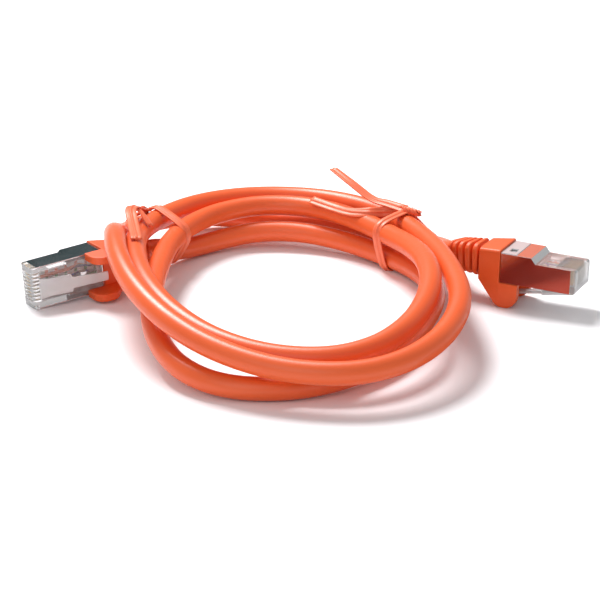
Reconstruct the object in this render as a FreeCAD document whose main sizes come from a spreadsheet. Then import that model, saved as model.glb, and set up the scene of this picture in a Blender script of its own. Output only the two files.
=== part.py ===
import FreeCAD
import Part
import math
import os
import Sketcher
from FreeCAD import Placement, Rotation, Vector

# Shielded eight-way patch cord, coiled and held by two twist ties.
# The part stands on z = 0 with +Z up. +Y is the far side of the coil.
# Lengths are in millimetres and angles in degrees.

doc = FreeCAD.newDocument("patch_cord")

# Driving dimensions
sizes = {
    # round cable
    "cable_diameter": 5.8,
    "wire_diameter": 0.95,
    "wire_ring_radius": 1.72,
    "foil_outer": 5.0,
    "foil_wall": 0.2,
    "drain_diameter": 0.4,
    # plug: the nose is at local x = 0, the latch face at local z = 0
    "plug_width": 11.68,
    "side_height": 6.6,
    "raised_height": 1.5,
    "plug_length": 21.0,
    "nose_length": 1.4,
    "raised_start": 12.4,
    "raised_slope": 1.2,
    "sheet_metal": 0.25,
    "slide_gap": 0.05,
    "housing_wall": 0.9,
    "cavity_start": 10.5,
    "wire_pitch": 1.02,
    "wire_height": 1.7,
    "wire_start": 2.5,
    "wire_straight_end": 12.0,
    "wire_rise_end": 15.4,
    "wire_gather_end": 18.8,
    "foil_start": 19.6,
    "strip_point": 22.0,
    "contact_thickness": 0.35,
    "contact_start": 1.0,
    "contact_length": 3.4,
    "contact_recess": 0.5,
    "comb_length": 6.0,
    "channel_gap": 0.1,
    "bar_length": 1.3,
    "bar_height": 1.0,
    # latch lever
    "latch_root_x": 1.7,
    "latch_root_drop": 0.85,
    "latch_thickness": 0.9,
    "latch_wide": 6.0,
    "latch_narrow": 3.6,
    "latch_shoulder_x": 8.6,
    "latch_length": 20.6,
    "latch_rest_angle": 10.5,
    "hinge_gap": 0.1,
    # boot
    "boot_width": 14.0,
    "boot_top": 8.9,
    "boot_block_length": 6.3,
    "boot_rear_width": 11.6,
    "boot_edge_radius": 0.9,
    "rib_count": 4,
    "rib_diameter": 8.4,
    "rib_groove_diameter": 7.3,
    "rib_length": 1.35,
    "rib_gap": 0.85,
    "ear_thickness": 2.3,
    "ear_reach": 5.3,
    "ear_drop": 6.9,
    "bore_gap": 0.1,
    "crimp_length": 5.0,
    # poses of the two plugs
    "a_nose_x": -70.4,
    "a_nose_y": -8.3,
    "a_heading": 33.0,
    "a_boot_bend": 28.0,
    "b_nose_x": 74.2,
    "b_nose_y": -9.2,
    "b_nose_z": 6.35,
    "b_heading": 154.5,
    "b_lift": 1.8,
    "b_boot_bend": 40.0,
    # twist ties
    "tie_width": 3.6,
    "tie_thickness": 0.5,
    "tie_clearance": 0.7,
    "left_tie_looseness": 0.4,
    "tie_knot_diameter": 2.6,
    # the point of the coil's plan that stands at the origin
    "centre_x": 1.43,
    "centre_y": 23.93,
}

sheet = doc.addObject("Spreadsheet::Sheet", "Sizes")
for row, (alias, value) in enumerate(sizes.items(), start=1):
    sheet.set(f"A{row}", alias)
    sheet.set(f"B{row}", str(value))
    sheet.setAlias(f"B{row}", alias)
doc.recompute()


def size(alias):
    """A driving dimension, read from the sheet."""
    return float(sheet.get(alias))


def bind(obj, **expressions):
    """Ties properties of an object to cells of the sheet."""
    for name, expression in expressions.items():
        obj.setExpression(name, expression)


def box(name, corner, lengths):
    """A box whose corner and lengths are given as expressions."""
    solid = doc.addObject("Part::Box", name)
    bind(solid, Length=lengths[0], Width=lengths[1], Height=lengths[2])
    for axis, expression in zip("xyz", corner):
        solid.setExpression(f"Placement.Base.{axis}", expression)
    return solid


def rod_x(name, start, radius, length):
    """A round bar along X from a start point, given as expressions."""
    solid = doc.addObject("Part::Cylinder", name)
    solid.Placement = Placement(Vector(), Rotation(Vector(0, 1, 0), 90))
    bind(solid, Radius=radius, Height=length)
    for axis, expression in zip("xyz", start):
        solid.setExpression(f"Placement.Base.{axis}", expression)
    return solid


def plate(name, outline, width):
    """A body padded both ways from an outline of (x, z) points on its middle plane."""
    body = doc.addObject("PartDesign::Body", name)
    sketch = body.newObject("Sketcher::SketchObject", f"{name}_outline")
    middle = [f for f in body.Origin.OriginFeatures if f.Role == "XZ_Plane"][0]
    sketch.AttachmentSupport = (middle, [""])
    sketch.MapMode = "FlatFace"
    corners = [Vector(x, z, 0) for x, z in outline]
    for first, second in zip(corners, corners[1:] + corners[:1]):
        sketch.addGeometry(Part.LineSegment(first, second), False)
    for line in range(len(corners)):
        after = (line + 1) % len(corners)
        sketch.addConstraint(Sketcher.Constraint("Coincident", line, 2, after, 1))
    pad = body.newObject("PartDesign::Pad", f"{name}_pad")
    pad.Profile = sketch
    pad.SideType = "Symmetric"
    bind(pad, Length=width)
    body.Tip = pad
    return body


def cut(name, base, tools):
    """A base less its tools."""
    result = doc.addObject("Part::Cut", name)
    result.Base = base
    result.Tool = tools[0] if len(tools) == 1 else fuse(f"{name}_tools", tools)
    return result


def fuse(name, pieces):
    """Touching pieces made one, or a group of separate solids."""
    result = doc.addObject("Part::MultiFuse", name)
    result.Shapes = pieces
    return result


def single(name, source):
    """One primitive as a finished solid that can be put in its place."""
    result = doc.addObject("Part::Refine", name)
    result.Source = source
    return result


def feature(name, shape):
    """A shape that no primitive or body fits."""
    result = doc.addObject("Part::Feature", name)
    result.Shape = shape
    return result


nodes = {}


def node(name, obj, placement=Placement()):
    """Names a finished sub-part and puts it in its place."""
    to_origin = Placement(Vector(-size("centre_x"), -size("centre_y"), 0), Rotation())
    obj.Label = name
    obj.Placement = to_origin * placement
    nodes[name] = obj


# Paths of the round tubes

def tangent_path(points, share=0.45):
    """Straight runs joined by arcs as large as the shorter run beside each point allows."""
    edges = []
    radii = []
    here = points[0]
    for before, point, after in zip(points, points[1:], points[2:]):
        into = (point - before).normalize()
        out = (after - point).normalize()
        turn = into.getAngle(out)
        reach = share * min(before.distanceToPoint(point), point.distanceToPoint(after))
        radii.append(reach / math.tan(turn / 2))
        start = point - into * reach
        end = point + out * reach
        bow = (out - into).normalize()
        centre = point + bow * (radii[-1] / math.cos(turn / 2))
        crown = centre - bow * radii[-1]
        edges.append(Part.LineSegment(here, start).toShape())
        edges.append(Part.Arc(start, crown, end).toShape())
        here = end
    edges.append(Part.LineSegment(here, points[-1]).toShape())
    return Part.Wire(edges), radii


def biarc(start, start_way, end, end_way):
    """Two arcs that leave one point and reach another along given directions."""
    chord = end - start
    ways = start_way + end_way
    slack = 2 * (1 - start_way.dot(end_way))
    along = chord.dot(ways)
    reach = (math.sqrt(along ** 2 + slack * chord.dot(chord)) - along) / slack
    corner_1 = start + start_way * reach
    corner_2 = end - end_way * reach
    middle = (corner_1 + corner_2) / 2
    arcs = []
    for first, corner, last in ((start, corner_1, middle), (middle, corner_2, end)):
        half = (first + last) / 2
        to_corner = corner - half
        rise = to_corner.Length
        run = first.distanceToPoint(half)
        depth = run * math.tan(math.atan2(rise, run) / 2)
        arcs.append(Part.Arc(first, half + to_corner.normalize() * depth, last).toShape())
    return arcs


def tube(path, diameter):
    """A round tube swept along a path, whose ends are square to it."""
    first = path.OrderedEdges[0]
    start = first.firstVertex(True).Point
    way = first.tangentAt(first.FirstParameter if first.Orientation == "Forward" else first.LastParameter)
    ring = Part.Wire(Part.makeCircle(diameter / 2, start, way))
    shell = Part.BRepOffsetAPI.MakePipeShell(path)
    shell.add(ring)
    shell.build()
    shell.makeSolid()
    return shell.shape()


# Cable coil: three turns through four stations each, at the far side, the
# right, the near side and the left. A station is where the cable is square to
# the coil's axes: (across, along, height) of its centre. The lowest strand is off
# the floor by a tie's thickness where the ties go round it.

floor_level = size("cable_diameter") / 2 + 0.05
tied_level = floor_level + size("tie_clearance") + size("tie_thickness")
far_stations = [
    (-4.5, 48.5, tied_level),
    (-6, 60.5, 9.6),
    (-2, 69, 10.2),
    (-20, 67, floor_level),
]
right_stations = [(38.5, -8, tied_level), (34, -6, 10.8), (41, -27, 18.0)]
near_stations = [(-8, -74, floor_level), (5, -68.5, 9.7), (5, -77, 9.3)]
left_stations = [(-37.5, 2, 12.6), (-45, -4, 18.9), (-51.6, 0, 17.6)]

stations = []
for turn in range(3):
    stations.append((Vector(*far_stations[turn]), Vector(1, 0, 0)))
    stations.append((Vector(*right_stations[turn]), Vector(0, -1, 0)))
    stations.append((Vector(*near_stations[turn]), Vector(-1, 0, 0)))
    stations.append((Vector(*left_stations[turn]), Vector(0, 1, 0)))
stations.append((Vector(*far_stations[3]), Vector(1, 0, 0)))

coil_edges = []
for (start, start_way), (end, end_way) in zip(stations, stations[1:]):
    coil_edges += biarc(start, start_way, end, end_way)
coil_path = Part.Wire(coil_edges)
node("cable_coil", feature("cable_coil", tube(coil_path, size("cable_diameter"))))


def self_gap(path, diameter, step, nearby):
    """The least gap between stretches of a tube that are further apart than nearby along it."""
    points = path.discretize(Distance=step)
    skip = int(nearby / step)
    least = min(
        points[i].distanceToPoint(points[j])
        for i in range(len(points))
        for j in range(i + skip, len(points))
    )
    return least - diameter


print("coil length", round(coil_path.Length, 1))
print("coil arc radii", [round(e.Curve.Radius, 1) for e in coil_edges])
print("coil gap to itself", round(self_gap(coil_path, size("cable_diameter"), 1.0, 60), 2))


# Plugs

def pose(plug):
    """Where a plug lies. Plug a lies on its side, on its nose and an ear; plug b stands on its ears."""
    if plug == "a":
        nose_z = size("plug_width") / 2
        ear_front = size("plug_length") - size("ear_reach")
        lift = math.degrees(math.asin((size("boot_width") - size("plug_width")) / 2 / ear_front))
        roll = Rotation(Vector(1, 0, 0), -90)
    else:
        nose_z = size("b_nose_z")
        lift = size("b_lift")
        roll = Rotation()
    turn = Rotation(Vector(0, 0, 1), size(f"{plug}_heading"))
    tip = Rotation(Vector(0, 1, 0), -lift)
    return Placement(Vector(size(f"{plug}_nose_x"), size(f"{plug}_nose_y"), nose_z), turn * tip * roll)


cable_z = (size("side_height") + size("raised_height")) / 2
housing_end = size("plug_length") - 0.2 - size("sheet_metal")
inner_width = size("plug_width") - 2 * (size("sheet_metal") + size("slide_gap"))


def plug_outline(end, top_cut):
    """The side view of the plug from its nose to an end, lowered at its raised rear by top_cut."""
    low = size("side_height")
    high = low + size("raised_height") - top_cut
    rise_start = size("raised_start") - size("raised_slope")
    return [
        (0, 0.4),
        (0.4, 0),
        (end, 0),
        (end, high),
        (size("raised_start"), high),
        (rise_start - size("slide_gap"), low - top_cut - 2 * size("slide_gap")),
        (rise_start - size("slide_gap"), low),
        (0.5, low),
        (0, low - 0.5),
    ]


def make_housing(plug):
    """Clear moulded body with its comb of contact slots, wire channel and rear cavity."""
    cover = size("sheet_metal") + size("slide_gap")
    body = plate(f"{plug}_body", plug_outline(housing_end, cover), "Sizes.plug_width")
    wall = "Sizes.housing_wall"
    side = "(Sizes.sheet_metal + Sizes.slide_gap)"
    tools = []
    for hand in (-1, 1):
        tools.append(box(
            f"{plug}_side_relief",
            (
                "Sizes.nose_length",
                f"{hand} * Sizes.plug_width / 2 - {(hand + 1) // 2} * {side}",
                "-1",
            ),
            ("Sizes.plug_length", side, "Sizes.side_height + Sizes.raised_height + 2"),
        ))
    for slot in range(8):
        tools.append(box(
            f"{plug}_slot",
            (
                "-1",
                f"({slot} - 3.5) * Sizes.wire_pitch - Sizes.contact_thickness / 2 - Sizes.slide_gap",
                "Sizes.wire_height",
            ),
            (
                "Sizes.comb_length + 1",
                "Sizes.contact_thickness + 2 * Sizes.slide_gap",
                "Sizes.side_height",
            ),
        ))
    tools.append(box(
        f"{plug}_channel",
        (
            "Sizes.wire_start - Sizes.channel_gap",
            "-4 * Sizes.wire_pitch - Sizes.channel_gap",
            "Sizes.wire_height - Sizes.wire_diameter / 2 - Sizes.channel_gap",
        ),
        (
            "Sizes.cavity_start",
            "8 * Sizes.wire_pitch + 2 * Sizes.channel_gap",
            "Sizes.wire_diameter + 2 * Sizes.channel_gap",
        ),
    ))
    tools.append(box(
        f"{plug}_cavity",
        ("Sizes.cavity_start", f"{wall} - {inner_width} / 2", wall),
        ("Sizes.plug_length", f"{inner_width} - 2 * {wall}", f"Sizes.side_height - 2 * {wall}"),
    ))
    tools.append(box(
        f"{plug}_rear_cavity",
        ("Sizes.raised_start + 1.8", f"{wall} - {inner_width} / 2", wall),
        (
            "Sizes.plug_length",
            f"{inner_width} - 2 * {wall}",
            f"Sizes.side_height + Sizes.raised_height - {side} - 2 * {wall}",
        ),
    ))
    node(f"{plug}_housing", cut(f"{plug}_housing", body, tools), pose(plug))


def make_shield(plug):
    """Stamped metal shell over both sides and the raised rear, with its crimp round the screen."""
    start = size("nose_length")
    skin = size("sheet_metal")
    end = size("plug_length") - 0.2
    low = size("side_height")
    high = low + size("raised_height")
    rise_start = size("raised_start") - size("raised_slope")
    outline = [(start, 0), (end, 0), (end, high), (size("raised_start"), high), (rise_start, low), (start, low)]
    outer = plate(f"{plug}_shell_outer", outline, "Sizes.plug_width")
    inside = [
        (start - 1, -1),
        (end - skin, -1),
        (end - skin, high - skin),
        (size("raised_start"), high - skin),
        (rise_start, low - skin),
        (rise_start - skin, high + 1),
        (start - 1, high + 1),
    ]
    hollow = plate(f"{plug}_shell_hollow", inside, "Sizes.plug_width - 2 * Sizes.sheet_metal")
    window = box(
        f"{plug}_strap_window",
        ("Sizes.plug_length - 3.4", "1.2", "Sizes.side_height + Sizes.raised_height - 0.5"),
        ("1.7", "2.2", "2"),
    )
    middle = f"{cable_z}"
    crimp_bore = "(Sizes.cable_diameter / 2 + Sizes.bore_gap)"
    crimp_start = "Sizes.plug_length - 0.2 - Sizes.sheet_metal"
    crimp = rod_x(
        f"{plug}_crimp",
        (crimp_start, "0", middle),
        f"{crimp_bore} + Sizes.sheet_metal",
        "Sizes.crimp_length",
    )
    crimp_hole = rod_x(f"{plug}_crimp_hole", ("Sizes.plug_length - 2", "0", middle), crimp_bore, "2 * Sizes.crimp_length")
    shell = cut(f"{plug}_shell", outer, [hollow, window])
    joined = fuse(f"{plug}_shell_with_crimp", [shell, crimp])
    node(f"{plug}_shield", cut(f"{plug}_shield", joined, [crimp_hole]), pose(plug))


def make_contacts(plug):
    """Eight stamped contact blades that stand in the comb over the wires."""
    blades = []
    for slot in range(8):
        blades.append(box(
            f"{plug}_blade",
            (
                "Sizes.contact_start",
                f"({slot} - 3.5) * Sizes.wire_pitch - Sizes.contact_thickness / 2",
                "Sizes.wire_height + Sizes.wire_diameter / 2",
            ),
            (
                "Sizes.contact_length",
                "Sizes.contact_thickness",
                "Sizes.side_height - Sizes.contact_recess - Sizes.wire_height - Sizes.wire_diameter / 2",
            ),
        ))
    node(f"{plug}_contacts", fuse(f"{plug}_contacts", blades), pose(plug))


def make_wires(plug):
    """Eight insulated conductors, side by side under the contacts and gathered in a ring at the screen."""
    ring_angles = [202.5, 157.5, 247.5, 112.5, 67.5, 292.5, 22.5, 337.5]
    for slot, angle in enumerate(ring_angles):
        across = (slot - 3.5) * size("wire_pitch")
        ring_y = size("wire_ring_radius") * math.cos(math.radians(angle))
        ring_z = cable_z + size("wire_ring_radius") * math.sin(math.radians(angle))
        points = [
            Vector(size("wire_start"), across, size("wire_height")),
            Vector(size("wire_straight_end"), across, size("wire_height")),
            Vector(size("wire_rise_end"), across, ring_z),
            Vector(size("wire_gather_end"), ring_y, ring_z),
            Vector(size("strip_point"), ring_y, ring_z),
        ]
        path, _ = tangent_path(points)
        shape = tube(path, size("wire_diameter"))
        node(f"{plug}_wire_{slot + 1}", feature(f"{plug}_wire", shape), pose(plug))


def make_bar(plug):
    """Wedge pressed down over the wires in front of the screen."""
    bar = box(
        f"{plug}_bar",
        (
            "Sizes.cavity_start + 0.3",
            f"Sizes.housing_wall + 0.1 - {inner_width} / 2",
            "Sizes.side_height - Sizes.housing_wall - Sizes.bar_height",
        ),
        ("Sizes.bar_length", f"{inner_width} - 2 * Sizes.housing_wall - 0.2", "Sizes.bar_height"),
    )
    node(f"{plug}_strain_bar", single(f"{plug}_strain_bar", bar), pose(plug))


def make_screen(plug):
    """Foil screen round the wires, with the bare drain wire beside it under the crimp."""
    length = "(Sizes.strip_point - Sizes.foil_start)"
    start = ("Sizes.foil_start", "0", f"{cable_z}")
    outer = rod_x(f"{plug}_foil_outer", start, "Sizes.foil_outer / 2", length)
    inner = rod_x(f"{plug}_foil_inner", start, "Sizes.foil_outer / 2 - Sizes.foil_wall", length)
    node(f"{plug}_foil_screen", cut(f"{plug}_foil", outer, [inner]), pose(plug))
    drain = rod_x(
        f"{plug}_drain",
        (
            "Sizes.foil_start + 0.3",
            "0",
            f"{cable_z} - Sizes.foil_outer / 2 - Sizes.drain_diameter / 2",
        ),
        "Sizes.drain_diameter / 2",
        f"{length} - 0.4",
    )
    node(f"{plug}_drain_wire", single(f"{plug}_drain_wire", drain), pose(plug))


bend_ways = {"a": Vector(0, 0.25, 0.97), "b": Vector(0, -0.94, -0.34)}
block_end = size("plug_length") + size("boot_block_length")
tail_length = size("rib_count") * (size("rib_length") + size("rib_gap"))


def boot_axis(plug, share):
    """A point on the bent axis of the ribbed tail, at a share of its length, and its direction."""
    bend = math.radians(size(f"{plug}_boot_bend"))
    radius = tail_length / bend
    way = Vector(bend_ways[plug]).normalize()
    angle = bend * share
    point = Vector(block_end, 0, cable_z) + Vector(radius * math.sin(angle), 0, 0)
    point += way * (radius * (1 - math.cos(angle)))
    return point, Vector(math.cos(angle), 0, 0) + way * math.sin(angle)


def tail_arc(plug, start, end):
    """The stretch of the bent axis between two shares of the tail's length."""
    ends = [boot_axis(plug, share)[0] for share in (start, (start + end) / 2, end)]
    return Part.Arc(*ends).toShape()


def make_jacket_end(plug):
    """The cable's jacket inside the boot, from where it is stripped to the boot's end."""
    straight = Part.LineSegment(Vector(size("strip_point"), 0, cable_z), Vector(block_end, 0, cable_z))
    path = Part.Wire([straight.toShape(), tail_arc(plug, 0, 1)])
    node(f"{plug}_jacket_end", feature(f"{plug}_jacket", tube(path, size("cable_diameter"))), pose(plug))


def make_boot(plug):
    """Moulded boot: a block over the plug's rear, two ears beside the latch and a ribbed tail."""
    front = size("plug_length")
    ear_front = front - size("ear_reach")
    ear_low_x = front - 1.4
    low = -size("ear_drop")
    half = size("boot_width") / 2
    rear_half = size("boot_rear_width") / 2
    under = -0.15
    rear_top = cable_z + size("rib_diameter") / 2
    rear_low = cable_z - size("rib_diameter") / 2

    def at(x, z):
        return Vector(x, -half, z)

    side = Part.Wire([
        Part.LineSegment(at(front, size("boot_top")), at(front, under)).toShape(),
        Part.LineSegment(at(front, under), at(ear_front, under)).toShape(),
        Part.LineSegment(at(ear_front, under), at(ear_front, low * 0.55)).toShape(),
        Part.Arc(at(ear_front, low * 0.55), at(ear_front + 1.1, low * 0.87), at(ear_low_x, low)).toShape(),
        Part.Arc(at(ear_low_x, low), at(ear_low_x + 1.5, low * 0.96), at(front + 1.3, low * 0.84)).toShape(),
        Part.LineSegment(at(front + 1.3, low * 0.84), at(block_end, rear_low)).toShape(),
        Part.LineSegment(at(block_end, rear_low), at(block_end, rear_top)).toShape(),
        Part.LineSegment(at(block_end, rear_top), at(front, size("boot_top"))).toShape(),
    ])
    block = Part.Face(side).extrude(Vector(0, 2 * half, 0))
    plan = Part.makePolygon([
        Vector(ear_front - 1, -half, low - 1),
        Vector(front, -half, low - 1),
        Vector(block_end, -rear_half, low - 1),
        Vector(block_end, rear_half, low - 1),
        Vector(front, half, low - 1),
        Vector(ear_front - 1, half, low - 1),
        Vector(ear_front - 1, -half, low - 1),
    ])
    block = block.common(Part.Face(plan).extrude(Vector(0, 0, size("boot_top") - low + 2)))
    top_edges = [
        e for e in block.Edges
        if min(v.Z for v in e.Vertexes) > cable_z + 1 and abs(e.Vertexes[0].X - e.Vertexes[-1].X) > 1
    ]
    block = block.makeFillet(size("boot_edge_radius"), top_edges)
    ear_gap = half - size("ear_thickness")
    block = block.cut(Part.makeBox(20, 2 * ear_gap, 10, Vector(ear_front - 1, -ear_gap, rear_low - 10)))

    tail = tube(Part.Wire([tail_arc(plug, 0, 1)]), size("rib_groove_diameter"))
    pitch = 1 / size("rib_count")
    rib_share = pitch * size("rib_length") / (size("rib_length") + size("rib_gap"))
    for rib in range(int(size("rib_count"))):
        end = 1 - rib * pitch
        tail = tail.fuse(tube(Part.Wire([tail_arc(plug, end - rib_share, end)]), size("rib_diameter")))

    bore_radius = size("cable_diameter") / 2 + size("bore_gap")
    crimp_radius = bore_radius + size("sheet_metal") + size("bore_gap")
    crimp_depth = size("crimp_length") - 0.2
    straight = Part.makeCylinder(bore_radius, size("boot_block_length"), Vector(front, 0, cable_z), Vector(1, 0, 0))
    wide = Part.makeCylinder(crimp_radius, crimp_depth, Vector(front, 0, cable_z), Vector(1, 0, 0))
    bent = tube(Part.Wire([tail_arc(plug, 0, 1)]), 2 * bore_radius)
    boot = block.fuse(tail).cut(straight).cut(wide).cut(bent)
    node(f"{plug}_boot", feature(f"{plug}_boot", boot.removeSplitter()), pose(plug))


def make_latch(plug):
    """Sprung lever that snaps under the jack's lip, wide to its shoulders and narrow to its tip."""
    half = size("latch_thickness") / 2
    outline = [(0, -half), (size("latch_length"), -half * 0.6), (size("latch_length"), half), (0, half)]
    lever = plate(f"{plug}_lever", outline, "Sizes.latch_wide")
    root = doc.addObject("Part::Cylinder", f"{plug}_lever_root")
    root.Placement = Placement(Vector(), Rotation(Vector(1, 0, 0), 90))
    bind(root, Radius="Sizes.latch_thickness / 2", Height="Sizes.latch_wide")
    root.setExpression("Placement.Base.y", "Sizes.latch_wide / 2")
    sides = []
    for hand in (-1, 1):
        sides.append(box(
            f"{plug}_lever_side",
            (
                "Sizes.latch_shoulder_x",
                f"{hand} * (Sizes.latch_narrow / 2 + 5) - 5",
                "-Sizes.latch_thickness",
            ),
            ("Sizes.latch_length", "10", "2 * Sizes.latch_thickness"),
        ))
    whole = fuse(f"{plug}_lever_whole", [lever, root])
    drop = Placement(
        Vector(size("latch_root_x"), 0, -size("latch_root_drop")),
        Rotation(Vector(0, 1, 0), size("latch_rest_angle")),
    )
    node(f"{plug}_latch", cut(f"{plug}_latch_cut", whole, sides), pose(plug) * drop)


for plug in ("a", "b"):
    make_housing(plug)
    make_shield(plug)
    make_contacts(plug)
    make_bar(plug)
    make_wires(plug)
    make_screen(plug)
    make_jacket_end(plug)
    make_boot(plug)
    make_latch(plug)


# Loose ends of the cable, from each boot to the coil

def boot_exit(plug):
    """Where the cable leaves a boot and the way it goes."""
    place = pose(plug)
    point, way = boot_axis(plug, 1)
    return place.multVec(point), place.Rotation.multVec(way)


start, way = boot_exit("a")
tail_a_points = [
    start,
    start + way * 6.5,
    Vector(-36.5, 28.8, 5.2),
    Vector(-31.8, 35.8, tied_level),
    Vector(-26.0, 42.6, tied_level),
    Vector(-16.0, 48.5, tied_level),
    Vector(*far_stations[0]),
]
start, way = boot_exit("b")
tail_b_points = [
    Vector(*far_stations[3]),
    Vector(-4.0, 67.0, floor_level),
    Vector(12.0, 65.0, 3.2),
    Vector(24.5, 58.0, tied_level),
    Vector(32.5, 49.0, tied_level),
    Vector(37.0, 39.5, 4.4),
    Vector(38.8, 30.0, 5.6),
    Vector(39.6, 22.0, 7.4),
    start + way * 6.5,
    start,
]
cable_paths = [coil_path]
for name, points in (("cable_tail_a", tail_a_points), ("cable_tail_b", tail_b_points)):
    path, radii = tangent_path(points)
    cable_paths.append(path)
    shape = tube(path, size("cable_diameter"))
    node(name, feature(name, shape))
    print(name, "length", round(path.Length, 1), "radii", [round(r, 1) for r in radii])
    expected = math.pi * size("cable_diameter") ** 2 / 4 * path.Length
    print(name, "volume over section times length", round(shape.Volume / expected, 4))


# Twist ties: a flat strip round the strands, a twisted knot and two loose ends

def crossings(middle, way, reach):
    """The points where the cable goes through an upright plane near its middle."""
    found = []
    for path in cable_paths:
        points = path.discretize(Distance=0.5)
        for first, second in zip(points, points[1:]):
            before = (first - middle).dot(way)
            after = (second - middle).dot(way)
            if before * after <= 0 and first.distanceToPoint(middle) < reach:
                found.append(first + (second - first) * (before / (before - after)))
    return found


def hull(points, across):
    """The corners of the band's inner line: the outermost points, in order round the bundle."""
    flat = sorted(points, key=lambda p: (p.dot(across), p.z))

    def chain(ordered):
        line = []
        for point in ordered:
            while len(line) > 1:
                side_1 = line[-1] - line[-2]
                side_2 = point - line[-1]
                if side_1.dot(across) * side_2.z - side_1.z * side_2.dot(across) > 0:
                    break
                line.pop()
            line.append(point)
        return line[:-1]

    return chain(flat) + chain(flat[::-1])


def strip(points, facing):
    """A flat strip along a path; its broad side faces a direction at the start."""
    path, _ = tangent_path(points)
    along = (points[1] - points[0]).normalize()
    across = along.cross(facing).normalize()
    up = across.cross(along)
    half = across * (size("tie_width") / 2)
    thick = up * (size("tie_thickness") / 2)
    corners = [half + thick, half - thick, -half - thick, -half + thick, half + thick]
    shell = Part.BRepOffsetAPI.MakePipeShell(path)
    shell.setBiNormalMode(across)
    shell.add(Part.makePolygon([points[0] + corner for corner in corners]))
    shell.build()
    shell.makeSolid()
    return shell.shape()


def make_tie(name, middle, heading, looseness, knot, ends):
    """A tie round every strand that goes through its plane."""
    way = Vector(math.cos(math.radians(heading)), math.sin(math.radians(heading)), 0)
    across = Vector(-way.y, way.x, 0)
    inner_gap = size("cable_diameter") / 2 + size("tie_clearance") + looseness
    corners = hull(crossings(middle, way, 25), across)
    print(name, "goes round", [[round(v, 1) for v in c] for c in corners])
    line = Part.makePolygon(corners + corners[:1])
    inner = line.makeOffset2D(inner_gap)
    outer = line.makeOffset2D(inner_gap + size("tie_thickness"))
    band = Part.Face(outer).cut(Part.Face(inner)).extrude(way * size("tie_width"))
    band.translate(way * (-size("tie_width") / 2))
    start, finish = knot
    twist = Part.makeCylinder(
        size("tie_knot_diameter") / 2, start.distanceToPoint(finish), start, finish - start
    )
    shape = band.fuse([twist] + [strip(points, facing) for points, facing in ends])
    print(name, "solids", len(shape.Solids))
    node(name, feature(name, shape.removeSplitter()))


make_tie(
    "left_tie",
    Vector(-36, 34, 4),
    63,
    size("left_tie_looseness"),
    (Vector(-47.5, 41.3, 15.4), Vector(-48.5, 42.3, 18.2)),
    [
        ([Vector(-48, 41.8, 17), Vector(-52.6, 41.2, 15), Vector(-54, 39.5, 8.5)], Vector(-1, 0, 0.9)),
        ([Vector(-48, 41.8, 17), Vector(-46.5, 36, 20.6), Vector(-45.5, 31, 20.4)], Vector(-0.4, 0, 1)),
    ],
)
make_tie(
    "right_tie",
    Vector(26, 41, 4),
    -52,
    0,
    (Vector(29.5, 43.7, 12.4), Vector(26.5, 46.5, 16.5)),
    [
        ([Vector(27.5, 45.5, 15), Vector(17.8, 48, 16.5), Vector(9.5, 50, 22.8)], Vector(0, -0.5, 1)),
        ([Vector(27.5, 45.5, 15), Vector(14.6, 56, 14.5), Vector(2.9, 61, 15)], Vector(0, -0.2, 1)),
    ],
)


# Checks and files

doc.recompute()
for obj in doc.Objects:
    if "Invalid" in obj.State or "Error" in obj.State:
        raise RuntimeError(f"{obj.Name} failed: {obj.State}")
for name, obj in nodes.items():
    if obj.Shape.isNull() or not obj.Shape.isValid():
        raise RuntimeError(f"{name} has no valid shape")
os.makedirs("parts", exist_ok=True)
for name, obj in nodes.items():
    obj.Shape.exportStep(f"parts/{name}.step")
print(len(nodes), "nodes written")
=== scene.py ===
import bmesh
import bpy
import math
from mathutils import Matrix, Vector


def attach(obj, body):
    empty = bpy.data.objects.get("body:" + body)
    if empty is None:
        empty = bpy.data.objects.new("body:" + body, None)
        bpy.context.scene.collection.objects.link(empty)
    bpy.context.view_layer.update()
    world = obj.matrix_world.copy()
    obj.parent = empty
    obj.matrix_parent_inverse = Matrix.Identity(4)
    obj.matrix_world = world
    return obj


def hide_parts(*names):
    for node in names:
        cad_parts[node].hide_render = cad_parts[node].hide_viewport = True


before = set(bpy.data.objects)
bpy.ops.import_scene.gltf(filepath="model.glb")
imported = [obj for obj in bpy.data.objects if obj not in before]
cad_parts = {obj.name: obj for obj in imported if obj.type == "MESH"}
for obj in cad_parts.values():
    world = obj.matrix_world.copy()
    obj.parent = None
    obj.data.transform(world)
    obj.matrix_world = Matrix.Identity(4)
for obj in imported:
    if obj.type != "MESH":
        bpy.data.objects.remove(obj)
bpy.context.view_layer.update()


# Camera
# It stands low over the table, on the side where the coil is open, and looks down on it by
# about twenty degrees through a long lens.

MM = 0.001
plan_x, plan_y = -1.43, -23.93
pitch = math.radians(19.5)
camera_distance = 0.586
sensor_width = 36
picture_width = 600
lens_in_pixels = 2180

camera = bpy.data.objects.new("camera", bpy.data.cameras.new("camera"))
bpy.context.scene.collection.objects.link(camera)
bpy.context.scene.camera = camera
aim = Vector((plan_x, plan_y, 0)) * MM
ahead = Vector((0, math.cos(pitch), -math.sin(pitch)))
camera.location = aim - ahead * camera_distance
camera.rotation_euler = ahead.to_track_quat("-Z", "Y").to_euler()
camera.data.sensor_width = sensor_width
camera.data.lens = sensor_width * lens_in_pixels / picture_width
camera.data.clip_start = 0.01
bpy.context.scene.view_settings.view_transform = "Standard"


# Cable
# One round cable, extruded in a soft orange jacket over four screened pairs. It leaves one
# boot, lies in three loose turns on the table and goes into the other boot.

def placed(x, y, z):
    """A point over the coil's plan, from millimetres."""
    return Vector((x + plan_x, y + plan_y, z)) * MM


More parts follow.
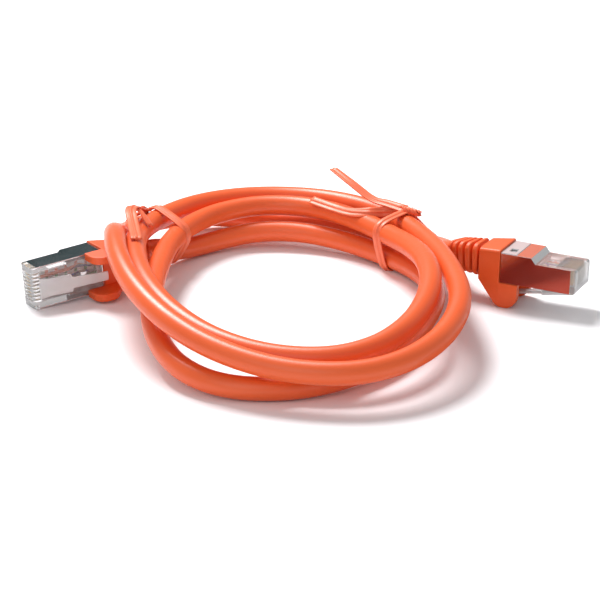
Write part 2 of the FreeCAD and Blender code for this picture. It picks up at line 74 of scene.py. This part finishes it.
root = "cord"
cable_diameter = 5.8 * MM
straight_at_boot = 6.5
boot_exit_a = Vector((-0.045211, -0.007681, 0.007957))
boot_exit_b = Vector((0.042112, -0.015435, 0.010507))
exit_way_a = Vector((0.49814, 0.86556, -0.05161))
exit_way_b = Vector((-0.43705, 0.87816, -0.19447))

# millimetres along the floor, across it and over it
tail_a = [(-36, 29.6, 4.2), (-29.9, 36.6, 3.1), (-22.3, 42.6, 3.5), (-12.5, 46, 4.7)]
tail_b = [
    (-5.5, 61, 3), (8.5, 57, 3), (20.5, 50, 3.2), (29.5, 42.5, 3.8),
    (35, 35, 4.6), (38.4, 28, 6), (40.1, 21, 7.5),
]
# the same for each station of the turns, and the way the cable heads there in degrees
stations = [
    (-7.6, 46.0, 5.1, 1), (25.5, 26.5, 3.3, -52), (34.8, -17.5, 4.8, -102),
    (-10.5, -72.8, 3.0, -183), (-37.9, -8.5, 10.5, -273), (-30.2, 35.9, 10.4, -297),
    (-5.7, 51.2, 11.2, -364), (21.2, 29.8, 10.9, -422), (33.7, -19.8, 15.4, -448),
    (0.0, -69.1, 9.3, -549), (-43.1, -12.7, 16.6, -624), (-36.7, 39.2, 12.5, -660),
    (-2.1, 58.6, 11.5, -728), (30.2, 27.7, 12.2, -788), (40.5, -28.2, 14.0, -806),
    (4.5, -78.0, 8.9, -908), (-48.4, -10.5, 20.6, -987), (-47.1, 38.3, 7.9, -1013),
    (-18.6, 65.8, 3.0, -1085),
]
wide_turn = 1.3

route = [boot_exit_a, boot_exit_a + exit_way_a * straight_at_boot * MM]
route += [placed(*place) for place in tail_a]
for (*start, heading), (*end, next_heading) in zip(stations, stations[1:]):
    start, end = placed(*start), placed(*end)
    turn = math.radians(heading - next_heading)
    reach = (end - start).length * math.tan(turn / 4) * 2 / 3 / math.sin(turn / 2)
    lead_out = start + Matrix.Rotation(math.radians(heading), 3, "Z") @ Vector((reach, 0, 0))
    lead_in = end - Matrix.Rotation(math.radians(next_heading), 3, "Z") @ Vector((reach, 0, 0))
    steps = 5 if turn > wide_turn else 3
    for step in range(steps):
        t = (step + 0.5) / steps
        u = 1 - t
        route.append(u ** 3 * start + 3 * t * u * u * lead_out
                     + 3 * t * t * u * lead_in + t ** 3 * end)
route += [placed(*place) for place in tail_b]
route += [boot_exit_b + exit_way_b * straight_at_boot * MM, boot_exit_b]

cable_line = bpy.data.curves.new("cable", "CURVE")
cable_line.dimensions = "3D"
spline = cable_line.splines.new("NURBS")
spline.points.add(len(route) - 1)
for point, place in zip(spline.points, route):
    point.co = (*place, 1)
spline.order_u = 3
spline.use_endpoint_u = True
cable_line.resolution_u = 10
cable = bpy.data.objects.new("cable", cable_line)
bpy.context.scene.collection.objects.link(cable)
bare = bpy.data.meshes.new_from_object(cable)
centres = [vertex.co.copy() for vertex in bare.vertices]
bpy.data.meshes.remove(bare)
cable_line.bevel_depth = cable_diameter / 2
cable_line.bevel_resolution = 8
cable_line.use_fill_caps = True


class Link:
    """A number that varies over a surface, with its arithmetic."""

    def __init__(self, mixture, socket):
        self.mixture = mixture
        self.socket = socket

    def maths(self, operation, first, second):
        return self.mixture.node("ShaderNodeMath", {"operation": operation}, {0: first, 1: second})

    def __add__(self, other):
        return self.maths("ADD", self, other)

    __radd__ = __add__

    def __sub__(self, other):
        return self.maths("SUBTRACT", self, other)

    def __rsub__(self, other):
        return self.maths("SUBTRACT", other, self)

    def __mul__(self, other):
        return self.maths("MULTIPLY", self, other)

    __rmul__ = __mul__

    def __gt__(self, other):
        return self.maths("GREATER_THAN", self, other)

    def __lt__(self, other):
        return self.maths("LESS_THAN", self, other)


class Mixture:
    """What a surface or the room is mixed from."""

    def __init__(self, tree):
        self.tree = tree

    def join(self, value, socket):
        if isinstance(value, Link):
            self.tree.links.new(value.socket, socket)
        else:
            socket.default_value = value

    def node(self, kind, settings=None, inputs=None, output=0):
        made = self.tree.nodes.new(kind)
        for name, value in (settings or {}).items():
            setattr(made, name, value)
        for name, value in (inputs or {}).items():
            self.join(value, made.inputs[name])
        return Link(self, made.outputs[output])


class Finish(Mixture):
    """A surface: its plain colour, its roughness and whatever varies over it."""

    def __init__(self, name, colour, roughness, **plain):
        self.material = bpy.data.materials.new(name)
        self.material.use_nodes = True
        super().__init__(self.material.node_tree)
        self.shader = self.tree.nodes["Principled BSDF"]
        self.set("Base Color", (*colour, 1))
        self.set("Roughness", roughness)
        for words, value in plain.items():
            self.set(words.replace("_", " "), value)

    def set(self, name, value):
        self.join(value, self.shader.inputs[name])

    def place(self):
        return self.node("ShaderNodeTexCoord", output="Object")

    def noise(self, scale, detail=3):
        inputs = {"Vector": self.place(), "Scale": scale, "Detail": detail}
        return self.node("ShaderNodeTexNoise", inputs=inputs)

    def blend(self, share, first, second):
        colours = {0: share, 6: (*first, 1), 7: (*second, 1)}
        return self.node("ShaderNodeMix", {"data_type": "RGBA"}, colours, output=2)

    def bump(self, height, strength, distance, normal=None):
        inputs = {"Height": height, "Strength": strength, "Distance": distance}
        if normal:
            inputs["Normal"] = normal
        return self.node("ShaderNodeBump", inputs=inputs)

    def soft_edge(self, radius):
        return self.node("ShaderNodeBevel", {"samples": 6}, {"Radius": radius})


jacket = Finish("jacket", (0.80, 0.115, 0.025), 0.42, IOR=1.48)
patches = jacket.noise(45, 2)
jacket.set("Base Color", jacket.blend(patches, (0.76, 0.100, 0.020), (0.84, 0.130, 0.029)))
jacket.set("Roughness", 0.30 + jacket.noise(700, 4) * 0.14)
jacket.set("Normal", jacket.bump(jacket.noise(1400, 5), 0.10, 0.0002))
cable_line.materials.append(jacket.material)
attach(cable, root)
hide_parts("cable_coil", "cable_tail_a", "cable_tail_b")


def dress(part, finish):
    """Gives one of the solid parts its finish."""
    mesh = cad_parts[part].data
    mesh.materials.clear()
    mesh.materials.append(finish.material)


for plug in "ab":
    dress(f"{plug}_jacket_end", jacket)


# Wires and screen
# Four twisted pairs of insulated copper, a plain and a striped wire of each colour, fanned out
# flat into the plug. The foil and the bare drain wire end under the shield's crimp.

pair_colours = {
    "orange": (0.80, 0.16, 0.02),
    "green": (0.02, 0.30, 0.08),
    "blue": (0.01, 0.09, 0.45),
    "brown": (0.16, 0.06, 0.025),
}
wire_order = ["orange", "orange", "green", "blue", "blue", "green", "brown", "brown"]
striped_wires = (1, 3, 5, 7)
stripe_base = (0.78, 0.78, 0.74)
stripe_share = 0.8

for number, colour in enumerate(wire_order, start=1):
    insulation = Finish(f"wire_{number}", pair_colours[colour], 0.4)
    if number in striped_wires:
        bands = insulation.node("ShaderNodeTexWave", output=1,
                                inputs={"Vector": insulation.place(), "Scale": 130})
        stripes = insulation.blend(bands > stripe_share, stripe_base, pair_colours[colour])
        insulation.set("Base Color", stripes)
    insulation.set("Roughness", 0.34 + insulation.noise(900, 2) * 0.15)
    for plug in "ab":
        dress(f"{plug}_wire_{number}", insulation)

foil = Finish("foil", (0.80, 0.81, 0.83), 0.3, Metallic=1.0)
foil.set("Normal", foil.bump(foil.noise(1100, 4), 0.5, 0.0003))
tinned = Finish("tinned", (0.72, 0.70, 0.67), 0.35, Metallic=1.0)
tinned.set("Roughness", 0.3 + tinned.noise(2000, 2) * 0.2)
for plug in "ab":
    dress(f"{plug}_foil_screen", foil)
    dress(f"{plug}_drain_wire", tinned)


# Plug bodies
# Clear polycarbonate, moulded in one with a comb for the contacts and a channel for the wires,
# which a clear bar presses down. Everything inside shows through them.

clear = Finish("clear", (1, 1, 1), 0.05, IOR=1.46)
clear.set("Transmission Weight", 0.82)
clear.set("Normal", clear.soft_edge(0.00018))
for plug in "ab":
    dress(f"{plug}_housing", clear)
    dress(f"{plug}_strain_bar", clear)


# Contacts
# Eight blades of gold-plated bronze in each plug, pressed through the wires in their channels.
# Their edges stand just under the top of the comb.

gold = Finish("gold", (0.95, 0.66, 0.28), 0.2, Metallic=1.0)
gold.set("Roughness", 0.16 + gold.noise(900, 3) * 0.14)
for plug in "ab":
    dress(f"{plug}_contacts", gold)


# Latch levers
# Clear sprung levers, moulded on the undersides of the plugs and bending at their roots. They
# are wide up to the two shoulders that lock in a jack, then narrow up to the tip for the thumb.

def plug_frame(nose, heading, lift, roll):
    """The place and turn of a plug whose nose is at its own origin."""
    heading, lift, roll = (math.radians(angle) for angle in (heading, lift, roll))
    turn = Matrix.Rotation(heading, 4, "Z") @ Matrix.Rotation(-lift, 4, "Y")
    return Matrix.Translation(nose) @ turn @ Matrix.Rotation(roll, 4, "X")


plug_frames = {
    "a": plug_frame(placed(-70.4, -8.3, 5.84), 33, math.degrees(math.asin(1.16 / 15.7)), -90),
    "b": plug_frame(placed(74.2, -9.2, 6.35), 154.5, 1.8, 0),
}
lever_root = Vector((1.7, 0, -0.85)) * MM
lever_slope = Matrix.Rotation(math.radians(10.5), 4, "Y")
lever_rounding = 0.0002
# millimetres along the lever, half its width, its underside and its top
lever_sections = [
    (-0.35, 2.9, -0.25, 0.25),
    (0.2, 2.9, -0.42, 0.42),
    (2.5, 2.5, -0.42, 0.30),
    (7.9, 2.5, -0.42, 0.30),
    (8.6, 2.45, -0.42, 0.62),
    (8.75, 1.6, -0.42, 0.62),
    (9.6, 1.5, -0.40, 0.36),
    (13.0, 1.4, -0.34, 0.30),
    (15.6, 1.35, -0.30, 0.30),
    (17.6, 1.3, -0.24, 0.40),
    (18.8, 1.25, -0.10, 0.44),
]

frosted = Finish("frosted", (1, 1, 1), 0.12, IOR=1.46)
frosted.set("Transmission Weight", 0.62)
frosted.set("Normal", frosted.soft_edge(0.00015))


def mesh_piece(name, shape_it, finish, body):
    """A new piece, shaped by a function, with its finish and body."""
    shape = bmesh.new()
    shape_it(shape)
    bmesh.ops.recalc_face_normals(shape, faces=shape.faces)
    mesh = bpy.data.meshes.new(name)
    shape.to_mesh(mesh)
    shape.free()
    mesh.materials.append(finish.material)
    piece = bpy.data.objects.new(name, mesh)
    bpy.context.scene.collection.objects.link(piece)
    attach(piece, body)
    return piece


def loft(shape, rings, closed=False):
    """Skins rings of points into a solid, with flat ends unless it closes on itself."""
    rows = [[shape.verts.new(point) for point in ring] for ring in rings]
    pairs = list(zip(rows, rows[1:])) + ([(rows[-1], rows[0])] if closed else [])
    for first, second in pairs:
        for i in range(len(first)):
            j = (i + 1) % len(first)
            shape.faces.new((first[i], first[j], second[j], second[i]))
    if not closed:
        shape.faces.new(rows[0])
        shape.faces.new(rows[-1][::-1])


def smooth_shading(piece):
    """Lets the light run smoothly over a piece's faces."""
    piece.data.polygons.foreach_set("use_smooth", [True] * len(piece.data.polygons))


for plug in "ab":
    lever_place = plug_frames[plug] @ Matrix.Translation(lever_root) @ lever_slope

    def lever(shape):
        rings = []
        for along, half, low, high in lever_sections:
            corners = [(-half, low), (half, low), (half, high), (-half, high)]
            rings.append([lever_place @ (Vector((along, y, z)) * MM) for y, z in corners])
        loft(shape, rings)

    piece = mesh_piece(f"{plug}_latch_lever", lever, frosted, f"latch_{plug}")
    edges = piece.modifiers.new("edges", "BEVEL")
    edges.width = lever_rounding
    edges.segments = 3
    edges.limit_method = "ANGLE"
    edges.harden_normals = True
    smooth_shading(piece)
    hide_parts(f"{plug}_latch")


# Shields
# Thin steel shells, stamped, folded and plated bright, that wrap the sides and the raised rear
# of each plug and crimp onto the cable's screen. A tinned band with a window lies at the rear.

plate = Finish("plate", (0.82, 0.83, 0.84), 0.12, Metallic=1.0)
plate.set("Roughness", 0.08 + plate.noise(160, 3) * 0.12)
plate.set("Normal", plate.bump(plate.noise(260, 3), 0.05, 0.0002, plate.soft_edge(0.00015)))
band_finish = Finish("band", (0.61, 0.64, 0.66), 0.32, Metallic=0.4)
band_finish.set("Roughness", 0.28 + band_finish.noise(400, 3) * 0.12)
# millimetres along the plug and across it
band_outline = ((16.6, -5.7), (20.9, -5.7), (20.9, 5.7), (16.6, 5.7))
band_window = ((17.45, 1.05), (19.45, 1.05), (19.45, 3.55), (17.45, 3.55))
band_underside, band_top = 8.05, 8.25

for plug in "ab":
    dress(f"{plug}_shield", plate)

    def band(shape):
        outer_wall = [(band_outline, band_underside), (band_outline, band_top)]
        inner_wall = [(band_window, band_top), (band_window, band_underside)]
        rings = []
        for outline, height in outer_wall + inner_wall:
            rings.append([plug_frames[plug] @ (Vector((x, y, height)) * MM) for x, y in outline])
        loft(shape, rings, closed=True)

    mesh_piece(f"{plug}_shield_band", band, band_finish, root)


# Boots
# Moulded over the rear of each plug in one soft orange piece: a block, two ears that guard the
# latch, and a ribbed tail that bends with the cable.

moulded = Finish("moulded", (0.76, 0.098, 0.034), 0.45, IOR=1.47)
cloudy = moulded.blend(moulded.noise(60, 2), (0.74, 0.086, 0.014), (0.84, 0.120, 0.022))
moulded.set("Base Color", cloudy)
moulded.set("Roughness", 0.40 + moulded.noise(900, 4) * 0.15)
moulded.set("Normal", moulded.bump(moulded.noise(1800, 4), 0.08, 0.0002))

block_cut = 0.0272
block_end = 27.3
block_narrowing = 0.9
cable_height = 4.05
tail_length = 8.8
end_inset = 0.25
rib_count = 5
rib_pitch = 1.8
rib_start = 0.55
rib_length = 1.15
rib_size = 4.5
rib_taper = 0.12
rib_rounding = 2.2
skin_grain = 0.00016
# how far each tail bends in degrees, and which way
tail_bends = {"a": (28, Vector((0, 0.25, 0.97))), "b": (40, Vector((0, -0.94, -0.34)))}
# millimetres from where to where, half the width, the underside, the top and the corner radius
tail_core = (-1.0, 8.7, 3.5, -3.5, 3.5, 3.4)
tail_spine = (-1.0, 7.6, 3.2, -0.5, 3.9, 1.2)


def tail_rings(bend, way, start, end, half_width, low, high, corner_radius):
    """The sections of one rounded length of a tail, along its bent axis."""
    rings = []
    for along in (start, start + 0.2, end - 0.2, end):
        angle = math.radians(bend) * max(along, 0) / tail_length
        radius = tail_length / math.radians(bend)
        reach = radius * math.sin(angle) if along > 0 else along
        centre = Vector((block_end + reach, 0, cable_height)) + way * radius * (1 - math.cos(angle))
        turn = Matrix.Rotation(angle, 3, Vector((1, 0, 0)).cross(way))
        inset = end_inset if along in (start, end) else 0
        side = half_width - corner_radius - inset
        ring = []
        for corner in range(4):
            middle_y = side if corner in (0, 3) else -side
            middle_z = high - corner_radius - inset if corner in (0, 1) else low + corner_radius + inset
            for step in range(5):
                round_the_corner = math.radians(90 * corner + 22.5 * step)
                y = math.cos(round_the_corner) * corner_radius + middle_y
                z = math.sin(round_the_corner) * corner_radius + middle_z
                ring.append((centre + turn @ Vector((0, y, z))) * MM)
        rings.append(ring)
    return rings


for plug in "ab":
    bend, way = tail_bends[plug]
    way = way.normalized()
    shape = bmesh.new()
    shape.from_mesh(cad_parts[f"{plug}_boot"].data)
    bmesh.ops.remove_doubles(shape, verts=shape.verts, dist=0.000002)
    shape.transform(plug_frames[plug].inverted())
    shape.transform(Matrix.Diagonal((1, block_narrowing, 1, 1)))
    block = shape.verts[:] + shape.edges[:] + shape.faces[:]
    cut = bmesh.ops.bisect_plane(shape, geom=block, plane_co=(block_cut, 0, 0),
                                 plane_no=(1, 0, 0), clear_outer=True)
    rim = [edge for edge in cut["geom_cut"] if isinstance(edge, bmesh.types.BMEdge)]
    bmesh.ops.holes_fill(shape, edges=rim)
    loft(shape, tail_rings(bend, way, *tail_core))
    loft(shape, tail_rings(bend, way, *tail_spine))
    for rib in range(rib_count):
        start = rib_start + rib * rib_pitch
        size = rib_size - rib_taper * rib
        rib_form = (start, start + rib_length, size, -size + 0.2, size + 0.1, rib_rounding)
        loft(shape, tail_rings(bend, way, *rib_form))
    shape.transform(plug_frames[plug])
    mesh = bpy.data.meshes.new(f"{plug}_boot_moulding")
    shape.to_mesh(mesh)
    shape.free()
    mesh.materials.append(moulded.material)
    boot = bpy.data.objects.new(f"{plug}_boot_moulding", mesh)
    bpy.context.scene.collection.objects.link(boot)
    skin = boot.modifiers.new("skin", "REMESH")
    skin.mode = "VOXEL"
    skin.voxel_size = skin_grain
    skin.use_smooth_shade = True
    soften = boot.modifiers.new("soften", "SMOOTH")
    soften.iterations = 5
    soften.factor = 0.5
    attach(boot, root)
    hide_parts(f"{plug}_boot")


# Twist ties
# Flat plastic strips with a steel wire in the middle, wound once round the turns, twisted
# together by hand and left with two loose ends.

film = Finish("film", (0.86, 0.17, 0.07), 0.38, IOR=1.46)
film.set("Base Color", film.blend(film.noise(120, 3), (0.82, 0.14, 0.055), (0.90, 0.20, 0.09)))
film.set("Roughness", 0.32 + film.noise(1200, 3) * 0.16)

tie_width = 3.0 * MM
tie_thickness = 0.42 * MM
tie_gap = 3.6 * MM
tie_reach = 15 * MM
# shares of half the width across the strip, and of half its thickness over it
tie_profile = [
    (-1, 0.7), (-0.8, 0.75), (-0.62, 1.15), (-0.42, 0.75), (-0.2, 0.8), (-0.1, 2.4),
    (0.1, 2.4), (0.2, 0.8), (0.42, 0.75), (0.62, 1.15), (0.8, 0.75), (1, 0.7),
]


def tie_section(place, facing, along, width=tie_width):
    """The outline of a tie at a place: thin at both edges, thick over the wire."""
    facing = (facing - along * facing.dot(along)).normalized()
    across = along.cross(facing)
    half, thick = width / 2, tie_thickness / 2
    upper = [place + across * half * y + facing * thick * z for y, z in tie_profile]
    lower = [place + across * half * y - facing * thick * z for y, z in tie_profile[::-1]]
    return upper + lower


def smooth_run(points, steps=8):
    """Points along a curve through a few chosen ones."""
    padded = [2 * points[0] - points[1]] + points + [2 * points[-1] - points[-2]]
    run = []
    for a, b, c, d in zip(padded, padded[1:], padded[2:], padded[3:]):
        for step in range(steps):
            t = step / steps
            run.append(0.5 * (2 * b + (c - a) * t + (2 * a - 5 * b + 4 * c - d) * t * t
                              + (3 * b - a - 3 * c + d) * t ** 3))
    return run + [points[-1]]


def loose_end(shape, points):
    """A loose end through chosen places, each with the way its face looks."""
    run = smooth_run([placed(*place) for place, facing in points])
    facings = smooth_run([Vector(facing) for place, facing in points])
    rings = []
    for i, (place, facing) in enumerate(zip(run, facings)):
        along = (run[min(i + 1, len(run) - 1)] - run[max(i - 1, 0)]).normalized()
        rings.append(tie_section(place, facing, along))
    loft(shape, rings)


def knot(shape, start, end, turns=1.25):
    """The two ends of a tie, wound about each other from start to end."""
    start, end = placed(*start), placed(*end)
    axis = (end - start).normalized()
    for side in (0, math.pi):
        rings = []
        for step in range(25):
            share = step / 24
            wound = Matrix.Rotation(side + turns * 2 * math.pi * share, 3, axis)
            out = wound @ axis.orthogonal().normalized()
            lean = (axis * 1.2 + axis.cross(out)).normalized()
            spread = 0.75 - 0.35 * share ** 3
            place = start.lerp(end, share) + out * spread * MM
            rings.append(tie_section(place, out, lean, 2.4 * spread * MM))
        loft(shape, rings)


def turned_left(first, middle, last):
    """Whether the way from one strand to the next turns left at the middle one."""
    side_1 = (middle[0] - first[0], middle[1] - first[1])
    side_2 = (last[0] - middle[0], last[1] - middle[1])
    return side_1[0] * side_2[1] - side_1[1] * side_2[0] > 0


def bundle_outline(strands):
    """The strands at the outside of a bundle, in order round it."""
    outline = []
    for ordered in (strands, strands[::-1]):
        chain = []
        for strand in ordered:
            while len(chain) > 1 and not turned_left(chain[-2], chain[-1], strand):
                chain.pop()
            chain.append(strand)
        outline += chain[:-1]
    return outline


def winding(outline):
    """A closed line round the outer strands, at the tie's distance from their centres."""
    loop = []
    for i, (u, z) in enumerate(outline):
        before, after = outline[i - 1], outline[(i + 1) % len(outline)]
        start = math.atan2(z - before[1], u - before[0]) - math.pi / 2
        end = math.atan2(after[1] - z, after[0] - u) - math.pi / 2
        while end < start:
            end += 2 * math.pi
        for step in range(13):
            angle = start + (end - start) * step / 12
            loop.append(Vector((u + tie_gap * math.cos(angle), z + tie_gap * math.sin(angle))))
        side = Vector(after) - Vector((u, z))
        for step in range(1, 6):
            loop.append(loop[-1].lerp(loop[-1] + side, 0.2) if step < 5 else loop[-1])
    for _ in range(12):
        loop = [(loop[i - 1] + point * 2 + loop[(i + 1) % len(loop)]) / 4
                for i, point in enumerate(loop)]
    return loop


def band_rings(middle, heading):
    """Sections of a tie round every strand of the cable that goes through its plane."""
    way = Vector((math.cos(math.radians(heading)), math.sin(math.radians(heading)), 0))
    across = Vector((-way.y, way.x, 0))
    strands = []
    for first, second in zip(centres, centres[1:]):
        before, after = (first - middle).dot(way), (second - middle).dot(way)
        if before * after <= 0 and (first - middle).length < tie_reach:
            cross = first.lerp(second, before / (before - after))
            strands.append(((cross - middle).dot(across), cross.z))
    strands.sort()
    loop = winding(bundle_outline(strands))
    rings = []
    for i, point in enumerate(loop):
        ahead = loop[(i + 1) % len(loop)] - loop[i - 1]
        facing = across * ahead.y - Vector((0, 0, ahead.x))
        centre = Vector((middle.x, middle.y, 0)) + across * point.x + Vector((0, 0, point.y))
        rings.append(tie_section(centre, facing.normalized(), way.cross(facing).normalized()))
    return rings


left_ends = [
    [
        ((-42.9, 30.8, 15.6), (0.1, 0.5, 1)),
        ((-44.6, 24, 18.3), (0.1, 0.9, 0.6)),
        ((-45.4, 17.5, 20.9), (0.1, 0.5, 0.9)),
        ((-45.9, 13, 21.2), (0, -0.4, 1)),
        ((-44.9, 6, 20.2), (0, -0.6, 0.8)),
        ((-42.9, -7.6, 19.7), (0.1, -0.5, 0.9)),
    ],
    [
        ((-45.2, 18.6, 20.2), (0.7, 0.2, 0.6)),
        ((-43.2, 16.6, 19.4), (0.9, -0.3, 0.5)),
        ((-40.6, 13, 16.8), (0.9, -0.5, 0.4)),
    ],
]
right_ends = [
    [
        ((29.4, 30.4, 16.2), (0.3, -0.7, 0.7)),
        ((24.6, 34.5, 16.6), (0.3, -0.6, 0.8)),
        ((20.3, 38, 17.0), (0.4, -0.5, 0.8)),
        ((14.6, 43.5, 20.0), (0.42, -0.5, 0.8)),
        ((9.6, 49.4, 22.4), (0.45, -0.4, 0.8)),
    ],
    [
        ((29.4, 30, 16), (0, -0.9, 0.4)),
        ((23.9, 33.5, 14.5), (0, -0.9, 0.4)),
        ((19.1, 32.8, 14.5), (0, -0.7, 0.7)),
        ((14.1, 35.9, 13.7), (0, -0.6, 0.8)),
        ((9.4, 40.9, 13.5), (0, -0.5, 0.8)),
        ((3.2, 46, 14.2), (0, -0.5, 0.8)),
    ],
]
# the middle of each tie's plane, the way the strands go through it, its knot and its ends
ties = {
    "left_tie": (placed(-38.6, 30.2, 0), 46, (-43.4, 31.6, 14.9), (-43.8, 27.4, 17.2), left_ends),
    "right_tie": (placed(25.8, 26.3, 0), -47, (28.8, 30.3, 16.2), (33.6, 27.4, 15.8), right_ends),
}
for name, (middle, heading, knot_start, knot_end, ends) in ties.items():

    def tie(shape):
        loft(shape, band_rings(middle, heading), closed=True)
        knot(shape, knot_start, knot_end)
        for points in ends:
            loose_end(shape, points)

    piece = mesh_piece(f"{name}_strip", tie, film, root)
    smooth_shading(piece)
    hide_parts(name)


# Studio
# A white table in a white room, with a broad lamp above and a weak one in front. Three cards,
# which only glossy surfaces see, paint reflections into the bright metal; one of them glows.

table_reach = 3
far_from, far_to = 0.25, 0.7
room_white = 1.0
room_dimming = 0.52
lamps = {
    "top_light": ((-0.3, 0.5, 0.85), 0.45, 14.0),
    "front_light": ((-0.4, -0.9, 0.6), 0.8, 2.0),
}
card_away, card_foot, card_head = 1.4, 0.25, 1.3
# the colour of the glow of the card that paints a warm reflection, though it is no lamp
painted_reflection_glow = (0.9, 0.16, 0.1, 1)


def sheet(name, corners, finish):
    """A flat sheet of the studio, which isn't part of the object."""
    shape = bpy.data.meshes.new(name)
    shape.from_pydata(corners, [], [(0, 1, 2, 3)])
    shape.materials.append(finish.material)
    made = bpy.data.objects.new(name, shape)
    bpy.context.scene.collection.objects.link(made)
    return made


paper = Finish("paper", (0.93, 0.93, 0.95), 0.9)
seen = paper.node("ShaderNodeLightPath", output="Is Camera Ray")
away = paper.node("ShaderNodeVectorMath", {"operation": "LENGTH"}, {0: paper.place()}, output=1)
far = paper.node("ShaderNodeMapRange", inputs={0: away, 1: far_from, 2: far_to, 3: 0.0, 4: 1.0})
paper.set("Emission Color", paper.blend(seen * far, (0, 0, 0), (1, 1, 1)))
paper.set("Emission Strength", 0.6)
table_corners = [(x, y, 0) for x, y in ((-1, -1), (1, -1), (1, 1), (-1, 1))]
sheet("floor", [Vector(corner) * table_reach for corner in table_corners], paper)

world = bpy.data.worlds.new("room")
bpy.context.scene.world = world
world.use_nodes = True
room = Mixture(world.node_tree)
background = room.tree.nodes["Background"]
room.join((1, 1, 1, 1), background.inputs["Color"])
seen = room.node("ShaderNodeLightPath", output="Is Camera Ray")
room.join(room_white - (1 - seen) * room_dimming, background.inputs["Strength"])

for name, (spot, size, power) in lamps.items():
    lamp = bpy.data.lights.new(name, "AREA")
    lamp.shape = "DISK"
    lamp.size = size
    lamp.energy = power
    light = bpy.data.objects.new(name, lamp)
    bpy.context.scene.collection.objects.link(light)
    light.location = spot
    light.rotation_euler = (-Vector(spot)).to_track_quat("-Z", "Y").to_euler()


def upright(left, right):
    """The corners of a card that stands behind the object."""
    low, high = card_foot, card_head
    return [(x, card_away, z) for x, z in ((left, low), (right, low), (right, high), (left, high))]


def lying(left, right, front, back):
    """The corners of a card that lies on the table."""
    return [(x, y, 0.0003) for x, y in ((left, front), (right, front), (right, back), (left, back))]


# the corners, the colour and the strength of the glow of each card that paints a reflection
cards = {
    # painted dark reflection in the metal
    "dark_reflection_card": (upright(-1.2, 0), (0.02, 0.05, 0.055), 0),
    # painted warm reflection, from a card that glows
    "glowing_reflection_card": (upright(0, 1.2), (0.75, 0.30, 0.20), 0.55),
    # painted red reflection on the sides of the second plug's shield
    "red_reflection_card": (lying(0.018, 0.11, -0.095, -0.026), (0.37, 0.034, 0.012), 0),
}
for name, (corners, colour, glow) in cards.items():
    reflection_finish = Finish(name, colour, 0.9)
    reflection_finish.set("Roughness", 0.8 + reflection_finish.noise(40, 2) * 0.1)
    reflection_finish.set("Emission Color", painted_reflection_glow)
    reflection_finish.set("Emission Strength", glow)
    card = sheet(name, corners, reflection_finish)
    # seen only in glossy reflections, so each card is a painted reflection
    card.visible_camera = False
    card.visible_diffuse = False
    card.visible_transmission = False
    card.visible_shadow = False
